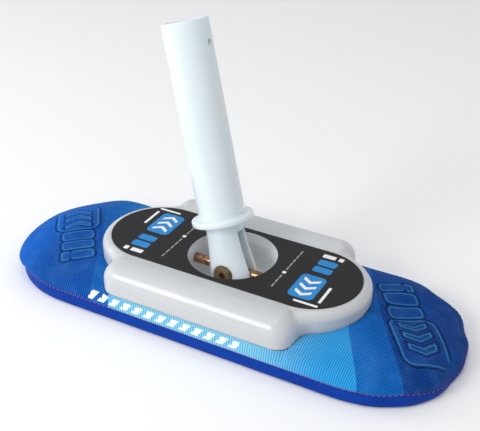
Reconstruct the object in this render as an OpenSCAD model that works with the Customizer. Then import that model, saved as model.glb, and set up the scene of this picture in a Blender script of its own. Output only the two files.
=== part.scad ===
// Curling broom head: a replaceable padded sole, a clip-on swivel housing and a two-way tilting handle ferrule.
// +X runs along the pad, +Y across it, +Z up. The origin is the centre of the sole, on the ice.
// Millimetres and degrees.

/* [Pad] */
// Length of the pad along X
pad_length = 228; // [200:1:240]
// Width of the pad along Y
pad_width = 86; // [82:1:90]
// Length of each rounded pad end
pad_end_length = 46; // [36:1:56]
// Fullness of the rounded ends, where 2 is an ellipse
pad_end_power = 2.3; // [2:0.1:3]
// Height of the seam between sole fabric and top fabric
seam_height = 7; // [6.5:0.1:7.4]
// Height of the padded crown at its ridge
crown_height = 17.6; // [16:0.2:19]
// Thickness of the smooth sole fabric
sole_fabric_t = 0.9; // [0.6:0.1:1]
// Thickness of the ribbed top fabric
top_fabric_t = 0.8; // [0.5:0.1:1]
// Thickness of the stiffening plate inside the pad
plate_t = 2.2; // [2:0.1:2.4]
// Height of the plate's top face, which the housing stands on
plate_top = 7.4; // [7.4:0.1:7.8]

/* [Housing] */
// Height of the flat deck above the sole
deck_height = 26; // [25:0.5:28]
// Length of the label on the deck
label_length = 129.4; // [120:0.2:134]
// Width of the label
label_width = 48; // [47:0.5:50]
// Thickness of the label, which lies flush in a recess
label_t = 0.35; // [0.2:0.05:0.5]
// Width of the rounded shoulder around the label
shoulder = 4.4; // [3.5:0.1:5]
// Wall thickness of the housing
wall = 2.4; // [2:0.1:2.8]
// Half length of the two side wings
wing_half_length = 49.7; // [44:0.1:52]
// Half width across the two side wings
wing_half_width = 41.2; // [40:0.1:41.5]
// Radius of the wings' rounded edges
wing_edge_r = 7; // [5:0.5:8]
// Height of the wings' lower edge
wing_bottom = 13.2; // [13.2:0.1:14]

/* [Swivel] */
// Height of the swivel's centre above the sole
pivot_height = 17.7; // [17.5:0.1:18]
// Radius of the round opening in the deck
bowl_r = 21.4; // [21:0.1:22]
// Radius of the two trunnion pins
trunnion_r = 2.3; // [2:0.1:2.5]
// Radius of the fork pivot barrel
barrel_r = 2.5; // [2.2:0.1:2.6]
// Running clearance of both pivots, on the radius
running_gap = 0.05; // [0.03:0.01:0.08]
// Radius of the fork pivot's two heads
head_r = 4.75; // [4:0.05:5]

/* [Ferrule] */
// Outer radius of the spigot that fits inside the handle
spigot_r = 11.1; // [10.5:0.1:11.5]
// Radius of the hollow inside the spigot
spigot_bore_r = 8.5; // [7.5:0.1:9]
// Length of the spigot above its flange
spigot_length = 91.1; // [60:0.1:100]
// Radius of the flange that stops the handle
flange_r = 14.9; // [13:0.1:15]
// Thickness of the flange
flange_t = 3; // [2.5:0.1:3.5]
// Distance from the swivel's centre to the underside of the flange
flange_reach = 23.9; // [23.5:0.1:25]
// Width of the slot between the fork's legs
fork_slot = 5.6; // [5:0.1:6]

/* [Resting pose] */
// Sideways lean of the ferrule about the trunnion pins
rest_cross_tilt = -9; // [-25:1:25]
// Lean of the ferrule along the pad about the fork pivot
rest_fork_tilt = -17; // [-30:1:30]

/* [Hidden] */
$fn = 96;

eps = 0.01;
hull_fn = 32;
sides = [-1, 1];

// Pad: how far the thread stands out, and the gap left around the housing
thread_t = 0.3;
well_gap = 0.35;
end_steps = 28;
half_straight = pad_length / 2 - pad_end_length;
plate_bottom = plate_top - plate_t;
plate_inset = 5;
wing_seat = wing_bottom - 0.6;

// Crown: height above the seam against the distance in from the pad's edge
crown_rise = crown_height - seam_height;
crown_curve = [
    [0, 0], [0.5, 0.2], [1.7, 0.41], [3.7, 0.53], [8, 0.68], [14, 0.8], [22, 0.9], [30, 0.96], [40, 1]
];

// Housing: outer stadium, hollow inside it and the label's recess
body_length = label_length + 2 * shoulder;
body_width = label_width + 2 * shoulder;
shoulder_r = shoulder - 0.4;
hollow_length = body_length - 2 * wall;
hollow_width = body_width - 2 * wall;
hollow_top = deck_height - wall;
recess_floor = deck_height - label_t;
wing_wall = 2.2;

// Snap catches and the windows they spring into
catch_width = 8;
catch_face = hollow_length / 2 - 0.4;
catch_top = 16.6;
window_width = 9;
window_z = [13.4, 17.6];

// Cup: wall, floor and the ears that take its four screws
cup_wall = 1.5;
cup_floor_top = 6.3;
cup_floor_t = 1.4;
cup_waist_r = bowl_r - 0.8;
deck_hole_r = bowl_r + cup_wall + 0.1;
cup_well_r = 23.6;
cup_well_z = cup_floor_top - cup_floor_t - 0.3;
ear_at = [26, 15];
ear_r = 4;
ear_z = 17.5;
ear_t = 2.5;
screw_r = 1.5;
screw_length = 5.8;
screw_head_r = 2.8;
screw_head_t = 1.6;
post_r = 3.6;

// Trunnions: where the pins leave the hub and where the cup's bosses end
hub_r = 6.5;
hub_width = fork_slot - 0.3;
spigot_pin_r = 1.6;
spigot_pin_in = 3.3;
boss_half_width = 6;
boss_end = 27.4;
pin_end = boss_end - 0.3;

// Fork: flared legs cut to a ball, with sunk seats for the pivot's heads
fork_neck_r = 9;
fork_foot_r = 11.1;
fork_ball_r = 11.3;
fork_foot = -6.5;
slot_top = 19;
head_seat = 8.4;
head_t = 2;
thread_r = 1.5;
thread_depth = 8;
bore_floor = flange_reach + flange_t + 3;
spigot_top = flange_reach + flange_t + spigot_length;
pilot_r = 1.5;
// Turned surfaces start at these angles, clear of the slot, the seats and the pilot hole
seam_turn = 45;
seat_turn = 20;
pilot_drop = 11;

// Points of the pad's outline, drawn in by inset: two superellipse ends joined by straight sides
function power(v, p) = sign(v) * pow(abs(v), 2 / p);
function pad_outline(inset) = [
    for (end = [1, -1]) for (i = [0:end_steps])
        let (a = -90 + 180 * i / end_steps)
        [
            end * (half_straight + (pad_end_length - inset) * power(cos(a), pad_end_power)),
            end * (pad_width / 2 - inset) * power(sin(a), pad_end_power)
        ]
];

module pad_slab(inset, z0, z1) {
    translate([0, 0, z0]) linear_extrude(z1 - z0) polygon(pad_outline(inset));
}

// The crowned upper half of the pad, pulled in by skin
module crown(skin) {
    hull()
        for (p = crown_curve)
            pad_slab(
                thread_t + skin + p[0],
                seam_height + crown_rise * p[1] - skin * (p[1] > 0 ? 1 : 0),
                seam_height + crown_rise * p[1] - skin * (p[1] > 0 ? 1 : 0) + eps
            );
}

module stadium(length, width) {
    square([length - width, width], center = true);
    for (s = sides)
        translate([s * (length - width) / 2, 0]) circle(d = width);
}

module stadium_prism(length, width, z0, z1) {
    translate([0, 0, z0]) linear_extrude(z1 - z0) stadium(length, width);
}

// Half section of the housing with its rounded shoulder
module shoulder_profile(half_width, z0, z1, r) {
    polygon(concat(
        [[0, z0], [half_width, z0]],
        [for (a = [0:10:90]) [half_width - r + r * cos(a), z1 - r + r * sin(a)]],
        [[0, z1]]
    ));
}

module shouldered_stadium(length, width, z0, z1, r) {
    for (s = sides)
        translate([s * (length - width) / 2, 0, 0])
            rotate_extrude() shoulder_profile(width / 2, z0, z1, r);
    rotate([90, 0, 90])
        linear_extrude(length - width, center = true)
            for (m = [0, 1])
                mirror([m, 0]) shoulder_profile(width / 2, z0, z1, r);
}

// One rounded block that spans both wings
module wing_block(thickness, z0) {
    r = wing_edge_r - thickness;
    hull()
        for (x = sides, y = sides)
            translate([x * (wing_half_length - wing_edge_r), y * (wing_half_width - wing_edge_r), 0]) {
                translate([0, 0, deck_height - wing_edge_r]) sphere(r, $fn = hull_fn);
                translate([0, 0, z0]) cylinder(r = r, h = eps, $fn = hull_fn);
            }
}

module at_pivot() {
    translate([0, 0, pivot_height]) children();
}

module on_cross() {
    at_pivot() rotate([rest_cross_tilt, 0, 0]) children();
}

module on_ferrule() {
    on_cross() rotate([0, rest_fork_tilt, 0]) children();
}

// Everything that the housing needs cleared out of the padding
module housing_well(z0) {
    stadium_prism(body_length + 2 * well_gap, body_width + 2 * well_gap, z0, crown_height + 1);
    translate([-wing_half_length - 1, -pad_width / 2, wing_seat])
        cube([2 * wing_half_length + 2, pad_width, crown_height]);
}

/* ---- replaceable pad ---- */

module sole_fabric() {
    edge_r = 1.2;
    color("royalblue")
        difference() {
            hull() {
                pad_slab(thread_t + edge_r, 0, eps);
                pad_slab(thread_t + 0.35 * edge_r, 0.35 * edge_r, 0.35 * edge_r + eps);
                pad_slab(thread_t, edge_r, seam_height);
            }
            pad_slab(thread_t + sole_fabric_t, sole_fabric_t, seam_height + 1);
        }
}

module sole_foam() {
    color("dimgray")
        difference() {
            pad_slab(thread_t + sole_fabric_t, sole_fabric_t, plate_top);
            pad_slab(plate_inset, plate_bottom, plate_top + 1);
            translate([0, 0, cup_well_z]) cylinder(r = cup_well_r, h = plate_top);
        }
}

module pad_plate() {
    rail_y = hollow_width / 2 - well_gap;
    color("whitesmoke") {
        difference() {
            pad_slab(plate_inset, plate_bottom, plate_top);
            translate([0, 0, plate_bottom - 1]) cylinder(r = cup_well_r, h = plate_t + 2);
        }
        for (s = sides)
            translate([-35, s > 0 ? rail_y - 1.6 : -rail_y, plate_top - eps]) cube([70, 1.6, 3]);
    }
}

module crown_foam() {
    color("gray")
        difference() {
            crown(top_fabric_t);
            translate([0, 0, -1]) linear_extrude(plate_top + 1) square([300, 200], center = true);
            housing_well(plate_top - 1);
        }
}

module top_fabric() {
    color("dodgerblue")
        difference() {
            crown(0);
            crown(top_fabric_t);
            translate([0, 0, -1]) linear_extrude(seam_height + 1) square([300, 200], center = true);
            pad_slab(thread_t + top_fabric_t, seam_height - 1, plate_top);
            housing_well(seam_height - 1);
        }
}

module seam_thread() {
    color("mediumvioletred")
        difference() {
            pad_slab(0, seam_height - 0.3, seam_height + 0.3);
            pad_slab(thread_t, seam_height - 1, seam_height + 1);
        }
}

// One spring catch: foot on the plate, upright blade and a sloped nose
module catch_profile() {
    polygon([
        [catch_face - 9, plate_top], [catch_face, plate_top], [catch_face, window_z[0] + 0.4],
        [catch_face + 2.4, window_z[0] + 0.4], [catch_face + 2.4, window_z[0] + 1], [catch_face, catch_top],
        [catch_face - 1.6, catch_top], [catch_face - 1.6, plate_top + 1.6], [catch_face - 9, plate_top + 1.6]
    ]);
}

module snap_catches() {
    color("white")
        for (s = [0, 180])
            rotate([0, 0, s]) rotate([90, 0, 0])
                linear_extrude(catch_width, center = true) catch_profile();
}

/* ---- swivel housing ---- */

module wing_shell() {
    difference() {
        wing_block(0, wing_bottom);
        wing_block(wing_wall, wing_bottom - 1);
        translate([-wing_half_length - 1, -wing_half_width - 1, 0])
            cube([2 * wing_half_length + 2, 2 * wing_half_width + 2, wing_bottom]);
        stadium_prism(hollow_length, hollow_width, 0, hollow_top);
        stadium_prism(label_length, label_width, recess_floor, deck_height + 1);
        cylinder(r = deck_hole_r, h = 60);
    }
}

module body_shell() {
    difference() {
        shouldered_stadium(body_length, body_width, plate_top, deck_height, shoulder_r);
        stadium_prism(hollow_length, hollow_width, 0, hollow_top);
        stadium_prism(label_length, label_width, recess_floor, deck_height + 1);
        cylinder(r = deck_hole_r, h = 60);
        translate([-body_length, -window_width / 2, window_z[0]])
            cube([2 * body_length, window_width, window_z[1] - window_z[0]]);
    }
}

// Posts that take the cup's screws, and ribs that stop the pins and stiffen the deck
module inner_structure() {
    for (x = sides, y = sides)
        translate([x * ear_at[0], y * ear_at[1], ear_z + ear_t])
            difference() {
                cylinder(r = post_r, h = hollow_top - ear_z - ear_t + eps);
                translate([0, 0, -1]) cylinder(r = screw_r + 0.02, h = screw_length - ear_t + 1.4);
            }
    for (s = sides) {
        translate([s > 0 ? boss_end : -boss_end - 2, -boss_half_width, pivot_height - 4])
            cube([2, 2 * boss_half_width, hollow_top - pivot_height + 4 + eps]);
        translate([s > 0 ? boss_end + 2 - eps : -catch_face + 11, -0.8, plate_top + 4])
            cube([catch_face - 13 - boss_end + eps, 1.6, hollow_top - plate_top - 4 + eps]);
    }
}

module housing_shell() {
    color("aliceblue") {
        body_shell();
        wing_shell();
        inner_structure();
    }
}

module deck_label() {
    color("black")
        difference() {
            stadium_prism(label_length - 0.2, label_width - 0.2, recess_floor, deck_height);
            cylinder(r = bowl_r, h = 60);
        }
}

module cup_section() {
    floor_bottom = cup_floor_top - cup_floor_t;
    polygon([
        [0, floor_bottom], [16.5, floor_bottom], [19, floor_bottom + 0.9], [20.7, floor_bottom + 3],
        [21.5, floor_bottom + 6], [cup_waist_r + cup_wall, pivot_height - 3],
        [cup_waist_r + cup_wall, pivot_height + 3], [bowl_r + cup_wall, recess_floor],
        [bowl_r, recess_floor], [cup_waist_r, pivot_height + 3], [cup_waist_r, pivot_height - 3],
        [20, floor_bottom + 6], [19.3, floor_bottom + 3.6], [17.9, cup_floor_top + 0.7],
        [16, cup_floor_top], [0, cup_floor_top]
    ]);
}

module swivel_cup() {
    color("gainsboro")
        difference() {
            union() {
                rotate_extrude() cup_section();
                for (s = sides)
                    translate([s > 0 ? cup_waist_r : -boss_end, -boss_half_width + 1, pivot_height - 5])
                        cube([boss_end - cup_waist_r, 2 * boss_half_width - 2, 10]);
                for (x = sides, y = sides)
                    translate([x * ear_at[0], y * ear_at[1], ear_z]) {
                        cylinder(r = ear_r, h = ear_t);
                        translate([x > 0 ? -10 : 0, y > 0 ? -3 : 0, 0]) cube([10, 3, ear_t]);
                    }
            }
            translate([0, 0, cup_floor_top + 8]) cylinder(r = cup_waist_r, h = 7);
            at_pivot() rotate([0, 90, 0]) cylinder(r = trunnion_r + running_gap, h = 80, center = true);
            for (x = sides, y = sides)
                translate([x * ear_at[0], y * ear_at[1], 0]) cylinder(r = screw_r + 0.1, h = 40);
        }
}

module cup_screws() {
    color("silver")
        for (x = sides, y = sides)
            translate([x * ear_at[0], y * ear_at[1], ear_z - screw_head_t])
                difference() {
                    union() {
                        cylinder(r = screw_head_r, h = screw_head_t);
                        cylinder(r = screw_r, h = screw_head_t + screw_length);
                    }
                    for (turn = [0, 90])
                        rotate([0, 0, turn]) translate([0, 0, -eps])
                            linear_extrude(0.9) square([3, 0.7], center = true);
                }
}

/* ---- cross ---- */

module cross_hub() {
    color("peru") on_cross()
        difference() {
            rotate([90, 0, 0]) cylinder(r = hub_r, h = hub_width, center = true);
            rotate([90, 0, 0]) cylinder(r = barrel_r + running_gap, h = hub_width + 2, center = true);
            rotate([0, 90, 0]) cylinder(r = spigot_pin_r, h = 4 * hub_r, center = true);
        }
}

module trunnion_pin(s) {
    shoulder_x = hub_r + 0.1;
    color("peru") on_cross()
        rotate([0, s * 90, 0]) {
            translate([0, 0, spigot_pin_in]) cylinder(r = spigot_pin_r, h = pin_end - spigot_pin_in - 1);
            translate([0, 0, shoulder_x]) cylinder(r = trunnion_r, h = pin_end - shoulder_x - 0.5);
            translate([0, 0, pin_end - 0.5]) cylinder(r1 = trunnion_r, r2 = trunnion_r - 0.5, h = 0.5);
        }
}

module trunnion_pin_left() {
    trunnion_pin(-1);
}

module trunnion_pin_right() {
    trunnion_pin(1);
}

/* ---- handle ferrule ---- */

function fork_r(s) = fork_neck_r + (fork_foot_r - fork_neck_r) * pow((flange_reach - s) / flange_reach, 2.2);

module fork_profile() {
    polygon(concat(
        [[0, fork_foot]],
        [for (s = [fork_foot, -5, -3.5, -2]) [sqrt(fork_ball_r * fork_ball_r - s * s), s]],
        [for (s = [0:3:21]) [fork_r(s), s]],
        [[fork_neck_r, flange_reach + 1], [0, flange_reach + 1]]
    ));
}

module spigot_profile() {
    flange_top = flange_reach + flange_t;
    chamfer = 0.8;
    polygon([
        [0, flange_reach], [flange_r - chamfer, flange_reach], [flange_r, flange_reach + chamfer],
        [flange_r, flange_top - chamfer], [flange_r - chamfer, flange_top], [spigot_r, flange_top],
        [spigot_r, spigot_top - chamfer], [spigot_r - chamfer, spigot_top],
        [spigot_bore_r, spigot_top], [spigot_bore_r, bore_floor], [0, bore_floor]
    ]);
}

module ferrule() {
    color("azure") on_ferrule()
        difference() {
            union() {
                rotate([0, 0, seam_turn]) rotate_extrude() fork_profile();
                rotate([0, 0, seam_turn]) rotate_extrude() spigot_profile();
            }
            translate([-20, -fork_slot / 2, -20]) cube([40, fork_slot, 20 + slot_top]);
            rotate([90, 0, 0]) cylinder(r = barrel_r + 0.02, h = 2 * head_seat + 1, center = true);
            for (s = sides)
                rotate([s * 90, 0, 0]) translate([0, 0, head_seat])
                    rotate([0, 0, seat_turn]) cylinder(r = head_r + 0.1, h = 10);
            translate([0, 0, spigot_top - pilot_drop])
                rotate([0, 90, 0]) cylinder(r = pilot_r, h = spigot_r + 1);
        }
}

// The barrel's head faces -Y and has a hex socket; its bore takes the screw from +Y
module pivot_barrel() {
    color("saddlebrown") on_ferrule()
        rotate([90, 0, 0])
            difference() {
                union() {
                    translate([0, 0, head_seat]) cylinder(r = head_r, h = head_t);
                    translate([0, 0, 1 - head_seat]) cylinder(r = barrel_r, h = 2 * head_seat - 1);
                }
                translate([0, 0, head_seat - 0.6]) cylinder(d = 3.46, h = head_t + 1, $fn = 6);
                translate([0, 0, -head_seat]) cylinder(r = thread_r + 0.02, h = thread_depth + 3);
            }
}

module pivot_screw() {
    color("saddlebrown") on_ferrule()
        rotate([-90, 0, 0])
            difference() {
                union() {
                    translate([0, 0, head_seat]) cylinder(r = head_r, h = head_t);
                    translate([0, 0, head_seat - thread_depth]) cylinder(r = thread_r, h = thread_depth + eps);
                }
                translate([0, 0, head_seat + 0.6]) cylinder(d = 2.31, h = head_t, $fn = 6);
            }
}

sole_fabric();
sole_foam();
pad_plate();
crown_foam();
top_fabric();
seam_thread();
snap_catches();
housing_shell();
deck_label();
swivel_cup();
cup_screws();
cross_hub();
trunnion_pin_left();
trunnion_pin_right();
ferrule();
pivot_barrel();
pivot_screw();
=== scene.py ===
"""Looks of the curling broom head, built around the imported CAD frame.

Points and sizes are in millimetres and are turned into metres when a mesh is made. The frame is the CAD's:
+X along the pad, +Y across it, +Z up, with the ice at zero.
"""

import math

import bpy
import numpy as np
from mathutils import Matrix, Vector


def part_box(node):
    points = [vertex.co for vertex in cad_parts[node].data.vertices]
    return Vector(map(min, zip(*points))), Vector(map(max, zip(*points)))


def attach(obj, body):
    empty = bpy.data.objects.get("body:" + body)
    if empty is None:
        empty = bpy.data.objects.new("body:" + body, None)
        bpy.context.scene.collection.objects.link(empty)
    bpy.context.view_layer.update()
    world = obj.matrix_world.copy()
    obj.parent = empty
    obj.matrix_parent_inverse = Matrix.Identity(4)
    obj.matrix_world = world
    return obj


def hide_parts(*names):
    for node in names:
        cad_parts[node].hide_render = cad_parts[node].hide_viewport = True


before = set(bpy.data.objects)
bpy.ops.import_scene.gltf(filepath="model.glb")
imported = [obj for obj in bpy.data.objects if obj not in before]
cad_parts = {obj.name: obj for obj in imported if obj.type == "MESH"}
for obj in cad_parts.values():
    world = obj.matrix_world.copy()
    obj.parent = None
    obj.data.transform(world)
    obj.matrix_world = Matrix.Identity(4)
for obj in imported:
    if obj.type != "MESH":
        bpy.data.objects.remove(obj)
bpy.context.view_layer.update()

import openvdb
from mathutils import Matrix, Vector

MM = 0.001

# ---------------------------------------------------------------- measures

PAD_HALF_LENGTH = 114.0
PAD_HALF_WIDTH = 43.0
PAD_END_LENGTH = 46.0
PAD_END_POWER = 2.3
PAD_STRAIGHT = PAD_HALF_LENGTH - PAD_END_LENGTH
SEAM_Z = 7.0
CROWN_Z = 17.6
PLATE_TOP = 7.4
TOP_CLOTH_T = 0.7
SOLE_CLOTH_T = 0.6
CUP_WELL_R = 23.6

DECK_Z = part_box("deck_label")[0][2] / MM
LABEL_T = 0.35
BODY_LENGTH = 138.2
BODY_WIDTH = 56.8
WALL = 2.3
BODY_EDGE_R = 4.2
DECK_HOLE_R = 23.0
ROLL_X = -0.5
ROLL_HALF_LENGTH = 49.2
ROLL_Y = 32.6
ROLL_HALF_WIDTH = 8.6
ROLL_TOP = 26.7
ROLL_BOTTOM = 13.2
ROLL_CORNER_R = 8.5
ROLL_EDGE_R = 8.0
RIB_TOP = 24.5
POST_X, POST_Y = 26.0, 15.0
POST_R, POST_BORE_R, POST_FOOT = 3.6, 1.5, 20.0

PIVOT = Vector((0.0, 0.0, 17.7))
REST_CROSS_TILT = math.radians(-9)
REST_FORK_TILT = math.radians(-17)
SPIGOT_R = 11.1
SPIGOT_BORE_R = 8.5
FLANGE_R = 14.9
FLANGE_Z = 23.9
FLANGE_T = 3.0
SPIGOT_TOP = 118.0
SPIGOT_BORE_END = 29.9
PILOT_R, PILOT_DROP = 1.5, 11.0
FORK_SLOT = 5.6
FORK_SLOT_TOP = 19.0
FORK_FOOT = -6.5
FORK_BALL_R = 11.35
SEAT_R, SEAT_FLOOR = 4.95, 8.4
BARREL_BORE_R = 2.55

# The cloth solver works on a coarse copy, ten times real size.
CLOTH_FRAMES = 14
CLOTH_AROUND, CLOTH_ACROSS = 250, 22
CLOTH_SCALE = 10 * MM
LARGEST_PUCKER = 0.9

# The photograph's camera: azimuth and elevation in degrees, distance in metres.
CAMERA_PLACE = (29.162, 35.66)
CAMERA_FACING = (28.645, 30.55)
CAMERA_DISTANCE = 0.45449
CAMERA_ROLL = 0.218
CAMERA_LENS_MM = 69.67

MARK_X = -43.0
RULE_X = -28.2


# ---------------------------------------------------------------- mesh helpers

def new_object(name, points, faces, body, material):
    """A smooth-shaded mesh object from points in millimetres, riding on a CAD body."""
    mesh = bpy.data.meshes.new(name)
    mesh.from_pydata((np.asarray(points) * MM).tolist(), [], [list(map(int, f)) for f in faces])
    mesh.validate()
    mesh.update()
    mesh.polygons.foreach_set("use_smooth", [True] * len(mesh.polygons))
    mesh.materials.append(material)
    obj = bpy.data.objects.new(name, mesh)
    bpy.context.scene.collection.objects.link(obj)
    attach(obj, body)
    return obj


def ring_faces(rings, around, closed_rings=False):
    """Quads between consecutive rings of points, each ring closed on itself."""
    faces = []
    last = rings if closed_rings else rings - 1
    for r in range(last):
        a, b = r * around, ((r + 1) % rings) * around
        for i in range(around):
            j = (i + 1) % around
            faces.append((a + i, a + j, b + j, b + i))
    return faces


def merged(parts):
    """One list of points and faces from several."""
    points, faces, base = [], [], 0
    for p, f in parts:
        points.append(np.asarray(p, float))
        faces += [tuple(i + base for i in face) for face in f]
        base += len(p)
    return np.vstack(points), faces


# ---------------------------------------------------------------- distance fields

def smooth_min(a, b, k):
    h = np.clip(0.5 + 0.5 * (b - a) / k, 0, 1)
    return b * (1 - h) + a * h - k * h * (1 - h)


def smooth_max(a, b, k):
    return -smooth_min(-a, -b, k)


def stadium_2d(x, y, length, width):
    r = width / 2
    return np.hypot(np.maximum(np.abs(x) - (length / 2 - r), 0), y) - r


def rect_2d(x, y, half_x, half_y, r):
    qx = np.abs(x) - half_x + r
    qy = np.abs(y) - half_y + r
    return np.hypot(np.maximum(qx, 0), np.maximum(qy, 0)) + np.minimum(np.maximum(qx, qy), 0) - r


def capped(plan, z, top, r):
    """A prism over a plan that runs down without end, its top edge rounded by r."""
    qd, qz = plan + r, z - top + r
    return np.hypot(np.maximum(qd, 0), np.maximum(qz, 0)) + np.minimum(np.maximum(qd, qz), 0) - r


def box_3d(x, y, z, low, high):
    c = [(a + b) / 2 for a, b in zip(low, high)]
    h = [(b - a) / 2 for a, b in zip(low, high)]
    q = [np.abs(v - m) - s for v, m, s in zip((x, y, z), c, h)]
    outside = np.sqrt(sum(np.maximum(v, 0) ** 2 for v in q))
    return outside + np.minimum(np.maximum(np.maximum(q[0], q[1]), q[2]), 0)


def surface_of(field, low, high, step):
    """Points and quads on the zero surface of a field, with the points pulled onto it."""
    axes = [np.arange(a - 2 * step, b + 3 * step, step) for a, b in zip(low, high)]
    x, y, z = np.meshgrid(*axes, indexing="ij")
    grid = openvdb.FloatGrid(3 * step)
    grid.copyFromArray(field(x, y, z).astype(np.float32))
    points, quads = grid.convertToQuads(0.0)
    points = points * step + np.array([a[0] for a in axes])
    nudge = 0.2 * step
    for _ in range(3):
        value = field(*points.T)
        slope = slope_of(field, points, nudge)
        steep = np.maximum((slope ** 2).sum(axis=1), 0.25)
        move = -(value / steep)[:, None] * slope
        points = points + np.clip(move, -0.3 * step, 0.3 * step)
    return points, quads, slope_of(field, points, nudge)


def slope_of(field, points, nudge):
    """The field's gradient at some points."""
    steps = [field(*(points + nudge * e).T) - field(*(points - nudge * e).T) for e in np.eye(3)]
    return np.stack(steps, axis=1) / (2 * nudge)


def shade_by(obj, normals):
    """Shades a mesh by the normals of the surface it samples."""
    size = np.maximum(np.linalg.norm(normals, axis=1, keepdims=True), 1e-6)
    obj.data.normals_split_custom_set_from_vertices((normals / size).tolist())


# ---------------------------------------------------------------- material helpers

class Nodes:
    """A short way to write a material's node tree."""

    def __init__(self, name):
        self.material = bpy.data.materials.new(name)
        self.material.use_nodes = True
        self.tree = self.material.node_tree
        self.shader = self.tree.nodes["Principled BSDF"]
        self.coords = self.add("ShaderNodeTexCoord").outputs["Object"]

    def add(self, kind, **values):
        node = self.tree.nodes.new(kind)
        for key, value in values.items():
            setattr(node, key, value)
        return node

    def put(self, socket, value):
        if isinstance(value, bpy.types.NodeSocket):
            self.tree.links.new(value, socket)
        else:
            socket.default_value = value

    def set(self, **values):
        for key, value in values.items():
            self.put(self.shader.inputs[key.replace("_", " ")], value)

    def math(self, operation, a, b=0.0, c=0.0, clamp=False):
        node = self.add("ShaderNodeMath", operation=operation, use_clamp=clamp)
        for socket, value in zip(node.inputs, (a, b, c)):
            self.put(socket, value)
        return node.outputs[0]

    def axes(self):
        """The object coordinates in millimetres, one socket per axis."""
        node = self.add("ShaderNodeSeparateXYZ")
        self.put(node.inputs[0], self.coords)
        return [self.math("MULTIPLY", node.outputs[i], 1000.0) for i in range(3)]

    def noise(self, scale, detail=3.0, roughness=0.5, stretch=None):
        node = self.add("ShaderNodeTexNoise")
        vector = self.coords
        if stretch:
            mapping = self.add("ShaderNodeMapping")
            mapping.inputs["Scale"].default_value = stretch
            self.put(mapping.inputs["Vector"], vector)
            vector = mapping.outputs[0]
        self.put(node.inputs["Vector"], vector)
        for key, value in (("Scale", scale), ("Detail", detail), ("Roughness", roughness)):
            node.inputs[key].default_value = value
        return node.outputs["Fac"]

    def ramp(self, value, low, high, to_low=0.0, to_high=1.0, smooth=True):
        node = self.add("ShaderNodeMapRange", interpolation_type="SMOOTHSTEP" if smooth else "LINEAR")
        for socket, v in zip(node.inputs[:5], (value, low, high, to_low, to_high)):
            self.put(socket, v)
        return node.outputs[0]

    def mix(self, factor, a, b):
        node = self.add("ShaderNodeMix", data_type="RGBA")
        for name, value in (("Factor", factor), ("A", a), ("B", b)):
            fits = [s for s in node.inputs if s.name == name and (s.type == "RGBA" or name == "Factor")]
            self.put(fits[0], value)
        return [s for s in node.outputs if s.type == "RGBA"][0]

    def bump(self, height, distance, strength=1.0, normal=None):
        node = self.add("ShaderNodeBump")
        node.inputs["Strength"].default_value = strength
        node.inputs["Distance"].default_value = distance
        self.put(node.inputs["Height"], height)
        if normal is not None:
            self.put(node.inputs["Normal"], normal)
        return node.outputs[0]


def rgb(red, green, blue):
    """Linear colour from the 0-255 values seen on a screen."""
    screen = (red, green, blue)
    return tuple(((c / 255 + 0.055) / 1.055) ** 2.4 if c > 10 else c / 3294.6 for c in screen) + (1.0,)


def milky_plastic(name, tint, roughness, scatter):
    """Translucent moulded plastic: cloudy, faintly streaked, with a soft gloss."""
    n = Nodes(name)
    cloud = n.noise(26.0, 3.0, 0.5)
    streak = n.noise(120.0, 3.0, 0.5, stretch=(1.0, 1.0, 0.1))
    cooler = tuple(c * f for c, f in zip(tint, (0.97, 0.985, 1.0))) + (1.0,)
    body = n.mix(n.ramp(cloud, 0.3, 0.7), tint, cooler)
    body = n.mix(n.ramp(streak, 0.5, 0.85, 0.0, 0.12), body, rgb(236, 243, 248))
    skin = n.bump(n.noise(2600.0, 2.0), 0.00002, 0.35)
    skin = n.bump(n.noise(40.0, 2.0), 0.0001, 0.06, skin)
    n.set(Base_Color=body, Normal=skin)
    n.set(Roughness=n.ramp(n.noise(60.0, 5.0), 0.3, 0.75, roughness, roughness + 0.05))
    n.set(Subsurface_Weight=scatter, Subsurface_Radius=(1.0, 1.1, 1.25), Subsurface_Scale=0.0035)
    n.set(IOR=1.51, Coat_Weight=0.25, Coat_Roughness=0.1)
    return n.material


def metal(name, colour, dark, roughness, turned=None):
    """Turned metal with fine tool lines and tarnish in patches."""
    n = Nodes(name)
    tarnish = n.noise(420.0, 5.0, 0.65)
    n.set(Base_Color=n.mix(n.ramp(tarnish, 0.38, 0.68), colour, dark), Metallic=1.0)
    lines = n.noise(5200.0, 2.0, 0.5, stretch=turned or (1.0, 1.0, 1.0))
    n.set(Roughness=n.ramp(tarnish, 0.3, 0.75, roughness, roughness + 0.22))
    n.set(Normal=n.bump(lines, 0.00003, 0.45))
    return n.material


def plain_plastic(name, colour, shade, roughness):
    """Hidden moulded plastic, faintly patchy, with a fine grain."""
    n = Nodes(name)
    patch = n.noise(90.0, 4.0)
    n.set(Base_Color=n.mix(n.ramp(patch, 0.35, 0.7), colour, shade))
    n.set(Roughness=n.ramp(n.noise(300.0, 5.0), 0.3, 0.75, roughness, roughness + 0.15))
    n.set(Normal=n.bump(n.noise(2400.0, 2.0), 0.00003, 0.5), IOR=1.49)
    return n.material


def foam_material():
    """Grey closed-cell foam."""
    n = Nodes("closed_cell_foam")
    cells = n.add("ShaderNodeTexVoronoi")
    cells.inputs["Scale"].default_value = 900.0
    n.put(cells.inputs["Vector"], n.coords)
    depth = cells.outputs["Distance"]
    n.set(Base_Color=n.mix(n.ramp(depth, 0.1, 0.7), rgb(70, 72, 78), rgb(104, 106, 112)))
    n.set(Roughness=0.92, Normal=n.bump(depth, 0.0002, 0.7))
    return n.material


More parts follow.
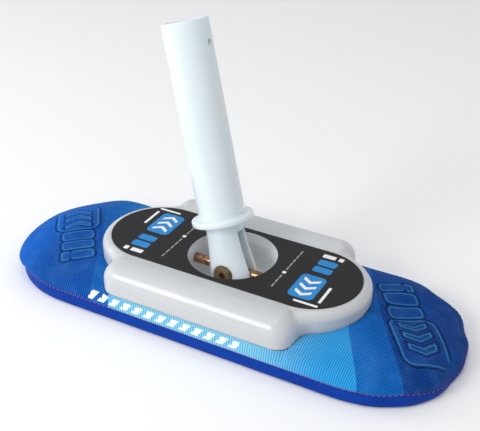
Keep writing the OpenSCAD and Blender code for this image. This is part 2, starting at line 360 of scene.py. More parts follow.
def sole_cloth_material():
    """Smooth royal blue cloth with a tight weave."""
    n = Nodes("royal_blue_cloth")
    x, y, z = n.axes()
    warp = n.math("SINE", n.math("MULTIPLY", n.math("ADD", x, z), 2 * math.pi / 0.45))
    weft = n.math("SINE", n.math("MULTIPLY", n.math("ADD", y, z), 2 * math.pi / 0.45))
    weave = n.math("MULTIPLY", warp, weft)
    tone = n.noise(70.0, 4.0, 0.6)
    blue = n.mix(n.ramp(tone, 0.3, 0.75), rgb(6, 58, 156), rgb(10, 68, 168))
    blue = n.mix(n.ramp(weave, -1.0, 1.0, 0.0, 0.3), blue, rgb(2, 42, 128))
    n.set(Base_Color=blue, Roughness=n.ramp(tone, 0.3, 0.7, 0.5, 0.62))
    n.set(Normal=n.bump(weave, 0.00005, 0.5, n.bump(n.noise(260.0, 3.0), 0.0002, 0.4)))
    n.set(Specular_IOR_Level=0.08, Sheen_Weight=0.02, Sheen_Roughness=0.45, Sheen_Tint=rgb(60, 120, 235))
    return n.material


def printed_cloth_material():
    """Finely ribbed cloth printed in bands: cyan by the housing, then mid blue, then dark blue ends, with
    painted light and shade on the ribs and on the ends.
    """
    n = Nodes("ribbed_printed_cloth")
    x, y, z = n.axes()
    # The print is the same after half a turn, so one side is written and the other folds onto it.
    side = n.math("SIGN", x)
    ax = n.math("ABSOLUTE", x)
    ay = n.math("MULTIPLY", y, side)
    # Distance past each band's edge: slanted lines that bow outwards.
    bow = n.math("MULTIPLY", n.math("MULTIPLY", ay, ay), -0.0022)
    inner_edge = n.math("ADD", n.math("MULTIPLY_ADD", ay, 0.46, ax), bow)
    mid_band = n.ramp(inner_edge, 58.4, 58.9)
    outer_edge = n.math("ADD", n.math("MULTIPLY_ADD", ay, 0.62, ax), bow)
    end_band = n.ramp(outer_edge, 75.6, 76.2)
    cyan = n.mix(n.ramp(ax, 25.0, 68.0), rgb(140, 218, 248), rgb(44, 168, 238))
    cyan = n.mix(n.ramp(x, -44.0, -84.0), cyan, rgb(14, 124, 204))
    mid = n.mix(n.ramp(outer_edge, 58.0, 76.0), rgb(4, 112, 200), rgb(2, 98, 188))
    # The end band is printed in one dark blue: painted light brightens it towards the tips, and painted shade
    # darkens the whole +X end.
    end = n.mix(n.ramp(ax, 80.0, 106.0), rgb(0, 78, 170), rgb(0, 104, 214))
    end = n.mix(n.ramp(x, 40.0, 100.0), end, rgb(0, 58, 140))
    print_colour = n.mix(end_band, n.mix(mid_band, cyan, mid), end)
    # Ribs across the pad, broken into knit stitches along each rib.
    wale = n.add("ShaderNodeAttribute", attribute_name="wale").outputs["Fac"]
    course = n.add("ShaderNodeAttribute", attribute_name="course").outputs["Fac"]
    ribs = n.math("SINE", n.math("MULTIPLY", wale, 2 * math.pi / 1.15))
    along_rib = n.math("MULTIPLY_ADD", wale, 0.5, course)
    stitch = n.math("SINE", n.math("MULTIPLY", along_rib, 2 * math.pi / 1.5))
    broken = n.math("MULTIPLY", ribs, stitch)
    knit = n.math("MULTIPLY_ADD", broken, 0.45, n.math("MULTIPLY", ribs, 0.55))
    tone = n.noise(95.0, 4.0, 0.6)
    # Painted shade in the hollows between the ribs, and a painted highlight on the rib crests.
    painted_rib_shade = n.mix(0.8, print_colour, rgb(0, 26, 92))
    colour = n.mix(n.ramp(knit, 0.5, -0.75, 0.0, 0.75), print_colour, painted_rib_shade)
    colour = n.mix(n.ramp(knit, 0.45, 0.95, 0.0, 0.3), colour, rgb(96, 190, 240))
    colour = n.mix(n.ramp(tone, 0.35, 0.8, 0.0, 0.1), colour, rgb(120, 180, 235))
    # Raised outlines catch the light and the ditch around them stays dark.
    line = n.add("ShaderNodeAttribute", attribute_name="raised").outputs["Fac"]
    colour = n.mix(n.ramp(line, 0.3, 0.9, 0.0, 0.55), colour, rgb(60, 150, 190))
    colour = n.mix(n.ramp(line, -0.15, -0.6, 0.0, 0.8), colour, rgb(4, 22, 62))
    # A row of plain printed marks along each long side, under the rolls.
    along = n.math("MULTIPLY", x, n.math("SIGN", y))
    pitches = n.math("MULTIPLY", along, 1 / 6.4)
    beat = n.math("FRACT", pitches)
    slant = n.math("FRACT", n.math("MULTIPLY_ADD", z, 0.12, pitches))
    mark = n.math("MULTIPLY", n.ramp(slant, 0.12, 0.15), n.ramp(slant, 0.74, 0.71))
    split = n.math("MULTIPLY", n.ramp(beat, 0.36, 0.4), n.ramp(beat, 0.52, 0.48))
    whole = n.math("SUBTRACT", 1.0, n.math("MULTIPLY", split, n.ramp(z, 9.6, 9.9)))
    height = n.math("MULTIPLY", n.ramp(z, 8.3, 8.5), n.ramp(z, 12.1, 11.9))
    length = n.math("MULTIPLY", n.ramp(along, 54.6, 54.2), n.ramp(along, -26.6, -26.2))
    for limit in (whole, height, length, n.ramp(n.math("ABSOLUTE", y), 39.8, 40.2)):
        mark = n.math("MULTIPLY", mark, limit)
    colour = n.mix(mark, colour, rgb(236, 248, 252))
    n.set(Base_Color=colour, Roughness=n.ramp(tone, 0.3, 0.7, 0.62, 0.78))
    n.set(Normal=n.bump(knit, 0.00016, 0.8, n.bump(n.noise(420.0, 3.0), 0.0002, 0.35)))
    n.set(Specular_IOR_Level=0.08, Sheen_Weight=0.02, Sheen_Roughness=0.4, Sheen_Tint=rgb(60, 150, 245))
    return n.material


def thread_material():
    """Reddish twisted sewing thread."""
    n = Nodes("seam_thread")
    x, y, z = n.axes()
    lay = n.math("ADD", n.math("ADD", x, y), n.math("MULTIPLY", z, 3.0))
    twist = n.math("SINE", n.math("MULTIPLY", lay, 9.0))
    n.set(Base_Color=n.mix(n.ramp(twist, -1.0, 1.0), rgb(120, 30, 96), rgb(172, 60, 120)))
    n.set(Roughness=0.6, Normal=n.bump(twist, 0.00004, 0.6), Sheen_Weight=0.2)
    return n.material


def label_material():
    """Matte black film with a fine grain."""
    n = Nodes("matte_black_film")
    grain = n.noise(700.0, 4.0, 0.6)
    n.set(Base_Color=n.mix(n.ramp(grain, 0.3, 0.75), rgb(17, 14, 15), rgb(26, 23, 24)))
    n.set(Roughness=n.ramp(grain, 0.3, 0.75, 0.48, 0.6), Specular_IOR_Level=0.4)
    n.set(Normal=n.bump(grain, 0.00002, 0.5))
    return n.material


def ink_material(name, colour, worn):
    """Printed ink, slightly worn in specks."""
    n = Nodes(name)
    grain = n.noise(900.0, 4.0, 0.6)
    n.set(Base_Color=n.mix(n.ramp(grain, 0.45, 0.8), colour, worn))
    n.set(Roughness=n.ramp(grain, 0.3, 0.75, 0.38, 0.5), Normal=n.bump(grain, 0.00002, 0.4))
    return n.material


# ---------------------------------------------------------------- pad outline and crown

def power(v, p):
    """A circle's coordinate bent into a superellipse's."""
    return np.sign(v) * np.abs(v) ** (2 / p)


def outline(turns):
    """Points of the pad's outline, and the points on its long axis that they face, for turns from 0 to 1."""
    straight_part = 2 * PAD_STRAIGHT
    arc = 0.5 * math.pi * (PAD_END_LENGTH + PAD_HALF_WIDTH)
    whole = 2 * (straight_part + arc)
    s = (np.asarray(turns) % 1.0) * whole
    x, y = np.empty_like(s), np.empty_like(s)
    end = s < arc
    a = np.pi * (s[end] / arc - 0.5)
    x[end] = PAD_STRAIGHT + PAD_END_LENGTH * power(np.cos(a), PAD_END_POWER)
    y[end] = power(np.sin(a), PAD_END_POWER)
    top = (s >= arc) & (s < arc + straight_part)
    x[top], y[top] = PAD_STRAIGHT - (s[top] - arc), 1.0
    far = (s >= arc + straight_part) & (s < 2 * arc + straight_part)
    a = np.pi * ((s[far] - arc - straight_part) / arc - 0.5)
    x[far] = -PAD_STRAIGHT - PAD_END_LENGTH * power(np.cos(a), PAD_END_POWER)
    y[far] = -power(np.sin(a), PAD_END_POWER)
    low = s >= 2 * arc + straight_part
    x[low], y[low] = -PAD_STRAIGHT + (s[low] - 2 * arc - straight_part), -1.0
    points = np.stack([x, y * PAD_HALF_WIDTH], axis=1)
    axis = np.stack([np.clip(x, -PAD_STRAIGHT, PAD_STRAIGHT), np.zeros_like(x)], axis=1)
    return points, axis


def faced(turns):
    """The outline's points, the axis points that they face, and the unit vectors between them, outwards."""
    edge, axis = outline(turns)
    return edge, axis, (edge - axis) / np.hypot(*(edge - axis).T)[:, None]


def even_turns(count):
    """Turns that space the outline's points evenly."""
    fine = np.linspace(0, 1, 6001)
    points, _ = outline(fine[:-1])
    steps = np.hypot(*(np.roll(points, -1, axis=0) - points).T)
    length = np.concatenate([[0], np.cumsum(steps)])
    return np.interp(np.arange(count) / count * length[-1], length, fine)


def ease(v):
    """A smooth step from 0 to 1."""
    v = np.clip(v, 0, 1)
    return v * v * (3 - 2 * v)


def ripple(points):
    """Sideways and upward moves of the seam: gathered in waves at the +X end, and drawn down at both ends."""
    angle = np.arctan2(points[:, 1], points[:, 0] - PAD_STRAIGHT)
    gather = np.clip((points[:, 0] - 70) / 36, 0, 1) ** 1.5
    calm = 0.12 * np.sin(points[:, 0] * 0.21) * np.cos(points[:, 1] * 0.17)
    side = gather * (0.62 * np.sin(angle * 9.3 + 0.8) + 0.4 * np.sin(angle * 17.0 + 2.1))
    lift = gather * (0.75 * np.sin(angle * 7.7 - 0.4) + 0.35 * np.sin(angle * 15.1 + 1.0))
    drawn = 4.2 * ease((-points[:, 0] - 88) / 20) + 3.2 * ease((points[:, 0] - 100) / 12)
    return calm + side, 0.5 * calm + lift - drawn


def crown_height(inset):
    """Height of the crowned top against the distance in from the edge."""
    at = np.array([0, 0.25, 0.9, 2.0, 4.0, 8, 14, 22, 30, 40, 60])
    rise = np.array([0, 0.12, 0.3, 0.45, 0.56, 0.68, 0.8, 0.9, 0.96, 1, 1])
    fine = np.linspace(0, 60, 1201)
    curve = np.interp(fine, at, rise)
    kernel = np.hanning(41)
    smooth = np.convolve(np.pad(curve, 20, mode="edge"), kernel / kernel.sum(), mode="valid")
    blend = np.clip(fine / 3.0, 0, 1)
    curve = curve * (1 - blend) + smooth * blend
    return SEAM_Z + (CROWN_Z - SEAM_Z) * np.interp(inset, fine, curve)


def footprint(x, y):
    """Distance outside the housing's plan: the stadium body and both rolls, with filleted corners."""
    body = stadium_2d(x, y, BODY_LENGTH, BODY_WIDTH)
    rolls = rect_2d(x - ROLL_X, np.abs(y) - ROLL_Y, ROLL_HALF_LENGTH, ROLL_HALF_WIDTH, 8.0)
    return smooth_min(body, rolls, 7.0)


def emboss(x, y):
    """Raised outlines of a plain geometric motif at each end of the pad, the same after half a turn."""
    side = np.where(x < 0, -1.0, 1.0)
    cx, cy = x * side - 89.5, y * side - 3.0
    along, across = 0.6 * cx - 0.8 * cy, 0.8 * cx + 0.6 * cy
    shapes = [rect_2d(along - 10.0, across, 14.5, 10.2, 4.5)]
    for start in (2.5, 10.0, 17.5):
        bar = np.abs(along - start + 0.55 * np.abs(across)) - 1.5
        shapes.append(smooth_max(bar, np.abs(across) - 6.0, 1.0))
    shapes.append(rect_2d(along + 10.5, across, 3.4, 7.4, 1.6))
    shapes.append(rect_2d(along + 18.8, across, 3.0, 7.4, 1.6))
    shapes.append(rect_2d(along + 27.0, across + 2.2, 2.8, 5.2, 1.4))
    shapes.append(rect_2d(along + 27.0, across - 6.2, 2.8, 1.6, 0.8))
    ridge, ditch = np.zeros_like(x), np.zeros_like(x)
    for d in shapes:
        ridge = np.maximum(ridge, np.exp(-(d / 0.55) ** 2))
        ditch = np.maximum(ditch, np.exp(-((d - 1.25) / 0.6) ** 2))
    away = stadium_2d(x, y, BODY_LENGTH, BODY_WIDTH)
    return (ridge - 0.7 * ditch) * ease((away - 0.8) / 2.0) * ease((113.0 - np.abs(x)) / 5.0)


# ---------------------------------------------------------------- the pad's soft pieces

def cloth_grid(around, across):
    """The outline, and how far each ring of the top cloth reaches in, up to the housing's wall."""
    edge, axis, out = faced(even_turns(around))
    reach = np.linspace(0, 1, 241)
    inner = np.empty(around)
    for i in range(around):
        line = edge[i] + reach[:, None] * (axis[i] - edge[i])
        inside = footprint(line[:, 0], line[:, 1]) < 0.25
        inner[i] = reach[np.argmax(inside)] if inside.any() else 1.0
    spread = np.linspace(0, 1, across) ** 1.25
    return edge, axis, out, spread[:, None] * inner[None, :]


def flattening(edge):
    """How much flatter the crown is at the +X end and at the back of the -X end, as in the photograph."""
    flat = 0.3 * ease((edge[:, 0] - 74) / 34) * (0.7 + 0.3 * ease((edge[:, 1] + 30) / 50))
    flat += 0.16 * ease((edge[:, 0] - 84) / 18) * ease((edge[:, 1] + 5) / 25)
    flat += 0.26 * ease((-edge[:, 0] - 40) / 20) * ease((edge[:, 1] - 5) / 30)
    return flat


def swelling(edge):
    """How far the cloth bulges over the seam: most at the -X end, and in at the back of the +X end."""
    swell = 3.9 * ease((-edge[:, 0] - 68) / 40) + 0.6 * ease((edge[:, 0] - 96) / 14)
    swell -= 2.4 * ease((edge[:, 0] - 80) / 20) * ease((edge[:, 1] + 5) / 20)
    return swell


def cloth_points(edge, axis, v):
    """The crowned cloth before simulation, one ring after another."""
    side, lift = ripple(edge)
    away = edge - axis
    length = np.hypot(*away.T)
    out = away / length[:, None]
    rings = []
    inner = v[-1] * length
    beside_roll = ease((7.0 - inner) / 4.0)
    flat, swell = flattening(edge), swelling(edge)
    for row in v:
        inset = row * length
        fade = np.exp(-inset / 7.0)
        plan = edge + out * (side * fade - inset)[:, None]
        crown = crown_height(inset)
        against_roll = SEAM_Z + (ROLL_BOTTOM + 0.25 - SEAM_Z) * (inset / inner) ** 0.8
        crown = crown * (1 - beside_roll) + against_roll * beside_roll
        z = crown - flat * (crown - SEAM_Z) * (1 - (inset / inner) ** 6) + lift * np.exp(-inset / 3.5)
        bulge = swell * np.exp(-((inset - 1.6) / 2.4) ** 2) * (1 - np.exp(-((inset / 0.7) ** 2)))
        rings.append(np.column_stack([plan + out * bulge[:, None], z]))
    return np.array(rings)


def simulated_offsets(around, across):
    """How the stretched cloth puckers between seam and housing, simulated on a coarse copy."""
    edge, axis, _, v = cloth_grid(around, across)
    flat = cloth_points(edge, axis, v).reshape(-1, 3)
    mesh = bpy.data.meshes.new("cloth_form")
    mesh.from_pydata((flat * CLOTH_SCALE).tolist(), [], ring_faces(across, around))
    form = bpy.data.objects.new("cloth_form", mesh)
    bpy.context.scene.collection.objects.link(form)
    pins = form.vertex_groups.new(name="pins")
    held = list(range(around)) + list(range((across - 1) * around, across * around))
    pins.add(held, 1.0, "REPLACE")
    slack = form.vertex_groups.new(name="slack")
    for i, p in enumerate(flat):
        slack.add([i], float(np.clip((abs(p[0]) - 60) / 45, 0, 1)), "REPLACE")
    cloth = form.modifiers.new("cloth", "CLOTH")
    cloth.settings.quality = 6
    cloth.settings.mass = 0.25
    cloth.settings.tension_stiffness = 30
    cloth.settings.compression_stiffness = 30
    cloth.settings.bending_stiffness = 1.5
    cloth.settings.use_pressure = True
    cloth.settings.uniform_pressure_force = 1.2
    cloth.settings.vertex_group_mass = "pins"
    cloth.settings.vertex_group_shrink = "slack"
    cloth.settings.shrink_min = 0.0
    cloth.settings.shrink_max = -0.05
    cloth.settings.effector_weights.gravity = 0.0
    cloth.point_cache.frame_end = CLOTH_FRAMES
    scene = bpy.context.scene
    for number in range(1, CLOTH_FRAMES + 1):
        scene.frame_set(number)
    result = form.evaluated_get(bpy.context.evaluated_depsgraph_get()).data
    moved = np.empty(len(flat) * 3)
    result.vertices.foreach_get("co", moved)
    scene.frame_set(1)
    bpy.data.objects.remove(form)
    offset = moved.reshape(-1, 3) / CLOTH_SCALE - flat
    size = np.maximum(np.linalg.norm(offset, axis=1), 1e-6)
    return (offset * (np.minimum(size, LARGEST_PUCKER) / size)[:, None]).reshape(across, around, 3)


def resampled(coarse, across, around):
    """A ring grid of vectors spread over a finer one."""
    rows, columns = coarse.shape[:2]
    u = np.linspace(0, rows - 1, across)
    w = np.arange(around) / around * columns
    r0, c0 = np.minimum(u.astype(int), rows - 2), w.astype(int) % columns
    fr, fc = (u - r0)[:, None, None], (w - w.astype(int))[None, :, None]
    fr, fc = fr * fr * (3 - 2 * fr), fc * fc * (3 - 2 * fc)
    a, b = coarse[r0][:, c0], coarse[r0][:, (c0 + 1) % columns]
    c, d = coarse[r0 + 1][:, c0], coarse[r0 + 1][:, (c0 + 1) % columns]
    return (a * (1 - fc) + b * fc) * (1 - fr) + (c * (1 - fc) + d * fc) * fr


def make_top_cloth(material):
    """The printed cloth: crowned, puckered by simulation, and embossed at both ends."""
    around, across = ((1000, 84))
    edge, axis, out, v = cloth_grid(around, across)
    rings = cloth_points(edge, axis, v)
    rings = rings + resampled(simulated_offsets(CLOTH_AROUND, CLOTH_ACROSS), across, around)
    flat = rings.reshape(-1, 3)
    unrolled = rings[:, :, :2] + out[None] * (CROWN_Z - rings[:, :, 2:])
    raised = emboss(flat[:, 0], flat[:, 1])
    flat[:, 2] += 0.55 * raised
    # The inner edge turns down along the housing's wall as a hem, and the outer edge turns in under the seam.
    hem = rings[-1].copy()
    hem[:, 2] -= 3.5
    tuck = rings[0].copy()
    tuck[:, :2] -= out * 1.2
    tuck[:, 2] -= 0.2
    rings = np.concatenate([tuck[None], rings, hem[None]])
    faces = ring_faces(len(rings), around)
    cloth = new_object("top_cloth", rings.reshape(-1, 3), faces, "pad", material)
    shown = {"raised": raised.reshape(-1, around), "wale": unrolled[:, :, 0], "course": unrolled[:, :, 1]}
    for name, rows in shown.items():
        attribute = cloth.data.attributes.new(name, "FLOAT", "POINT")
        attribute.data.foreach_set("value", np.concatenate([rows[:1], rows, rows[-1:]]).ravel())
    thick = cloth.modifiers.new("thickness", "SOLIDIFY")
    thick.thickness = TOP_CLOTH_T * MM
    thick.offset = -1.0
    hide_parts("top_fabric")
    return cloth


def make_crown_foam(material):
    """Foam that fills the crown, clear of the cloth's puckers, with a flat-bottomed well for the housing."""
    around = 360
    edge, axis, out, v = cloth_grid(around, 60)
    high_enough = cloth_points(edge, axis, v)[:, :, 2] > PLATE_TOP + 2.9
    start = v[np.argmax(high_enough, axis=0), np.arange(around)]
    rings = cloth_points(edge, axis, start + (v[-1] - start) * np.linspace(0, 1, 26)[:, None])
    rings[:, :, :2] -= out * np.linspace(2.4, 0, 26)[:, None, None]
    rings[:, :, 2] -= 2.1
    rings[:, :, 2] = np.maximum(rings[:, :, 2], PLATE_TOP + 0.05)
    shelf = rings[-1].copy()
    shelf[:, 2] = np.minimum(shelf[:, 2], ROLL_BOTTOM - 0.6)
    step_in = shelf.copy()
    for i in np.flatnonzero(stadium_2d(*shelf[:, :2].T, BODY_LENGTH, BODY_WIDTH) > 0.4):
        line = shelf[i, :2] + np.linspace(0, 1, 161)[:, None] * (axis[i] - shelf[i, :2])
        step_in[i, :2] = line[np.argmax(stadium_2d(*line.T, BODY_LENGTH, BODY_WIDTH) < 0.35)]
    well = step_in.copy()
    well[:, 2] = PLATE_TOP + 0.05
    base = rings[0].copy()
    base[:, 2] = PLATE_TOP + 0.02
    rings = np.concatenate([base[None], rings, shelf[None], step_in[None], well[None]])
    faces = ring_faces(len(rings), around, closed_rings=True)
    foam = new_object("crown_padding", rings.reshape(-1, 3), faces, "pad", material)
    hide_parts("crown_foam")
    return foam


def make_sole_cloth(material):
    """The smooth cloth: a slightly swollen side band, a soft lower edge and the flat sole."""
    around = 900
    edge, axis, out = faced(even_turns(around))
    side, lift = ripple(edge)
    # How far out of the outline each ring of the side band lies, against its share of the seam's height.
    band = [(-1.6, 0.97), (-0.35, 0.97), (-0.02, 0.85), (0.12, 0.62)]
    band += [(0.1, 0.4), (-0.05, 0.2), (-0.4, 0.08), (-1.0, 0.015)]
    rings = []
    for offset, share in band:
        z = share * (SEAM_Z + lift * share)
        rings.append(np.column_stack([edge + out * (offset + side * (0.35 + 0.65 * share))[:, None], z]))
    for inset in (3.0, 8.0, 16.0, 26.0, 36.0, 42.0):
        share = inset / PAD_HALF_WIDTH
        rings.append(np.column_stack([edge + (axis - edge) * share, np.zeros(around)]))
    rings = np.array(rings)
    faces = [face[::-1] for face in ring_faces(len(rings), around)]
    cloth = new_object("sole_cloth", rings.reshape(-1, 3), faces, "pad", material)
    close_with_strip(cloth, (len(rings) - 1) * around, around)
    thick = cloth.modifiers.new("thickness", "SOLIDIFY")
    thick.thickness = SOLE_CLOTH_T * MM
    thick.offset = -1.0
    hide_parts("sole_fabric")
    return cloth


def close_with_strip(obj, start, around):
    """Closes a long thin inner ring with one face."""
    mesh = obj.data
    points = [v.co[:] for v in mesh.vertices]
    faces = [tuple(p.vertices) for p in mesh.polygons]
    faces.append(tuple(range(start + around - 1, start - 1, -1)))
    material = mesh.materials[0]
    mesh.clear_geometry()
    mesh.from_pydata(points, [], faces)
    mesh.polygons.foreach_set("use_smooth", [True] * len(mesh.polygons))
    if not mesh.materials:
        mesh.materials.append(material)
    mesh.update()


def make_sole_foam(material):
    """Foam slab between the sole cloth and the plate, with a round well for the swivel cup."""
    around = 240
    edge, _, out = faced(even_turns(around))
    angle = np.arctan2(edge[:, 1], edge[:, 0])
    well = CUP_WELL_R * np.column_stack([np.cos(angle), np.sin(angle)])
    # The rim round the plate is lower and further in at the ends, where the seam is drawn down.
    end = ease((np.abs(edge[:, 0]) - 84) / 16)
    rim = 6.4 - 1.15 * end
    # Each ring's plan and height, from the rim down the side, in under the well, and back out over the slab.
    sections = [
        (edge - out * (1.8 + 1.8 * end)[:, None], rim),
        (edge - out * (1.3 + 1.3 * end)[:, None], 3.2 - 0.8 * end),
        (edge - out * 2.0, 0.9),
        (well * 0.5, 0.9),
        (well * 0.04, 0.9),
        (well * 0.04, 4.5),
        (well * 0.96, 4.5),
        (well, 5.15),
        (edge - out * 5.2, 5.15),
        (edge - out * 4.8, rim),
    ]
    rings = [np.column_stack([plan, np.broadcast_to(z, around)]) for plan, z in sections]
    rings = np.array(rings)
    faces = [face[::-1] for face in ring_faces(len(rings), around, closed_rings=True)]
    foam = new_object("sole_padding", rings.reshape(-1, 3), faces, "pad", material)
    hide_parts("sole_foam")
    return foam


def make_stitches(material):
    """Short thread stitches all round the seam."""
    pitch = 2.4
    sides = 6
    length = 2 * (2 * PAD_STRAIGHT + 0.5 * math.pi * (PAD_END_LENGTH + PAD_HALF_WIDTH))
    count = int(length / pitch)
    edge, _, out = faced(even_turns(count * 6))
    side, lift = ripple(edge)
    path = np.column_stack([edge + out * (side - 0.1)[:, None], SEAM_Z + 0.98 * lift])
    parts = []
    for k in range(count):
        at = [(k * 6 + i) % len(path) for i in range(6)]
        points = []
        for i, a in enumerate(at):
            ahead = path[(a + 1) % len(path)] - path[a]
            ahead /= np.linalg.norm(ahead)
            sideways = np.append(out[a], 0.0)
            up = np.cross(ahead, sideways)
            thick = 0.26 * (0.35, 0.85, 1.0, 1.0, 0.85, 0.35)[i]
            sink = (0.22, 0.06, 0.0, 0.0, 0.06, 0.22)[i]
            for s in range(sides):
                turn = 2 * math.pi * s / sides
                around = math.cos(turn) * sideways + math.sin(turn) * up
                points.append(path[a] - sink * sideways + thick * around)
        ends = [tuple(range(sides - 1, -1, -1)), tuple(range(5 * sides, 6 * sides))]
        parts.append((points, ring_faces(6, sides) + ends))
    points, faces = merged(parts)
    stitches = new_object("seam_stitches", points, faces, "pad", material)
    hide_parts("seam_thread")
    return stitches


# ---------------------------------------------------------------- housing

def housing_field(x, y, z):
    """The moulded housing: rounded stadium deck, two side rolls, hollow underneath, with posts and ribs."""
    body_plan = stadium_2d(x, y, BODY_LENGTH, BODY_WIDTH)
    body = capped(body_plan, z, DECK_Z, BODY_EDGE_R)
    fill = capped(rect_2d(x, y, ROLL_HALF_LENGTH - 6, ROLL_Y, 3.0), z, DECK_Z, 1.0)
    roll_plan = rect_2d(x - ROLL_X, np.abs(y) - ROLL_Y, ROLL_HALF_LENGTH, ROLL_HALF_WIDTH, ROLL_CORNER_R)
    roll = capped(roll_plan, z, ROLL_TOP, ROLL_EDGE_R)
    blend = 2.6 + 4.4 * np.clip((np.abs(x) - 42) / 8, 0, 1)
    outer = smooth_min(np.minimum(body, fill), roll, blend)
    shell = np.maximum(outer, -(outer + WALL))
    shell = np.maximum(shell, ROLL_BOTTOM - z)
    wall = np.maximum(body_plan, -(body_plan + WALL))
    solid = np.minimum(shell, np.maximum(wall, np.maximum(PLATE_TOP - z, z - DECK_Z + 4.6)))
    # The cup's stops, the spine ribs and the screw posts, the same on all sides.
    across, beyond = np.abs(y), np.abs(x)
    solid = np.minimum(solid, box_3d(beyond, y, z, (27.4, -6, 13.7), (29.4, 6, RIB_TOP)))
    solid = np.minimum(solid, box_3d(beyond, y, z, (29.2, -0.8, 11.4), (55, 0.8, RIB_TOP)))
    post = np.hypot(beyond - POST_X, across - POST_Y)
    tube = np.maximum(post - POST_R, POST_BORE_R - post)
    solid = np.minimum(solid, np.maximum(tube, np.maximum(POST_FOOT - z, z - RIB_TOP)))
    hole = np.hypot(x, y) - DECK_HOLE_R
    window = box_3d(beyond, y, z, (64.0, -4.5, 13.4), (72.0, 4.5, 17.6))
    return smooth_max(np.maximum(solid, -window), -hole, 0.5)


def make_housing(material):
    step = 0.6
    low, high = (-69.5, -41.5, 7.0), (69.5, 41.5, 27.2)
    points, quads, normals = surface_of(housing_field, low, high, step)
    housing = new_object("housing_moulding", points, quads, "housing", material)
    shade_by(housing, normals)
    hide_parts("housing_shell")
    return housing


# ---------------------------------------------------------------- ferrule

def at_rest(point_rows):
    """From the ferrule's own upright frame, with the pivot at its origin, to its resting place."""
    turn = Matrix.Rotation(REST_CROSS_TILT, 3, "X") @ Matrix.Rotation(REST_FORK_TILT, 3, "Y")
    return point_rows @ np.array(turn).T + np.array(PIVOT)


def ferrule_field(x, y, z):
    """Hollow spigot, stop flange and a flared two-legged fork with sunk seats for the pivot's heads."""
    radius = np.hypot(x, y)
    spigot = smooth_max(radius - SPIGOT_R, np.maximum(FLANGE_Z + 0.5 - z, z - SPIGOT_TOP), 0.7)
    flange = smooth_max(radius - FLANGE_R, np.abs(z - FLANGE_Z - FLANGE_T / 2) - FLANGE_T / 2, 1.0)
    drop = np.clip((FLANGE_Z - z) / FLANGE_Z, 0, 1.3)
    flare = 9.0 + 2.1 * drop ** 2.2
    fork = smooth_max(radius - flare, np.maximum(z - FLANGE_Z - 1, FORK_FOOT - z), 0.8)
    # Below the pivot the fork is rounded to a ball, so that it turns freely in the cup.
    fork = smooth_max(fork, np.sqrt(radius ** 2 + z ** 2) - FORK_BALL_R - 100 * (z > 2), 0.8)
    solid = smooth_min(smooth_min(spigot, flange, 1.2), fork, 1.4)
    slot = np.maximum(np.abs(y) - FORK_SLOT / 2, z - FORK_SLOT_TOP)
    solid = smooth_max(solid, -slot, 0.7)
    seat = np.maximum(np.hypot(x, z) - SEAT_R, SEAT_FLOOR - np.abs(y))
    barrel = np.hypot(x, z) - BARREL_BORE_R
    solid = smooth_max(solid, -np.minimum(seat, barrel), 0.35)
    bore = smooth_max(radius - SPIGOT_BORE_R, SPIGOT_BORE_END - z, 0.8)
    solid = smooth_max(solid, -bore, 0.6)
    pilot = np.maximum(np.hypot(y, z - (SPIGOT_TOP - PILOT_DROP)) - PILOT_R, -x)
    return smooth_max(solid, -pilot, 0.4)


def make_ferrule(material):
    step = 0.45
    low, high = (-15.2, -15.2, -7.0), (15.2, 15.2, SPIGOT_TOP)
    points, quads, normals = surface_of(ferrule_field, low, high, step)
    ferrule = new_object("handle_ferrule", at_rest(points), quads, "ferrule", material)
    shade_by(ferrule, at_rest(normals) - np.array(PIVOT))
    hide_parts("ferrule")
    return ferrule


# ---------------------------------------------------------------- label print

def rounded_shape(cx, cy, half_x, half_y, r, steps=6):
    """Points of a rounded bar."""
    points = []
    for sx, sy, start in ((1, 1, 0), (-1, 1, 90), (-1, -1, 180), (1, -1, 270)):
        for i in range(steps + 1):
            a = math.radians(start + 90 * i / steps)
            x = sx * (half_x - r) + r * math.cos(a)
            y = sy * (half_y - r) + r * math.sin(a)
            points.append((cx + x, cy + y))
    return points


def print_layer(name, shapes, height, material):
    """Thin ink on the label, the same after half a turn."""
    low, high = DECK_Z + LABEL_T - 0.01, DECK_Z + LABEL_T + height
    parts = []
    for turn in (1, -1):
        for shape in shapes:
            count = len(shape)
            ring = [(turn * x, turn * y) for x, y in shape]
            points = [(x, y, low) for x, y in ring] + [(x, y, high) for x, y in ring]
            faces = [tuple(range(count - 1, -1, -1)), tuple(range(count, 2 * count))]
            faces += [(i, (i + 1) % count, count + (i + 1) % count, count + i) for i in range(count)]
            parts.append((points, faces))
    points, faces = merged(parts)
    layer = new_object(name, points, faces, "housing", material)
    layer.data.polygons.foreach_set("use_smooth", [False] * len(layer.data.polygons))
    return layer


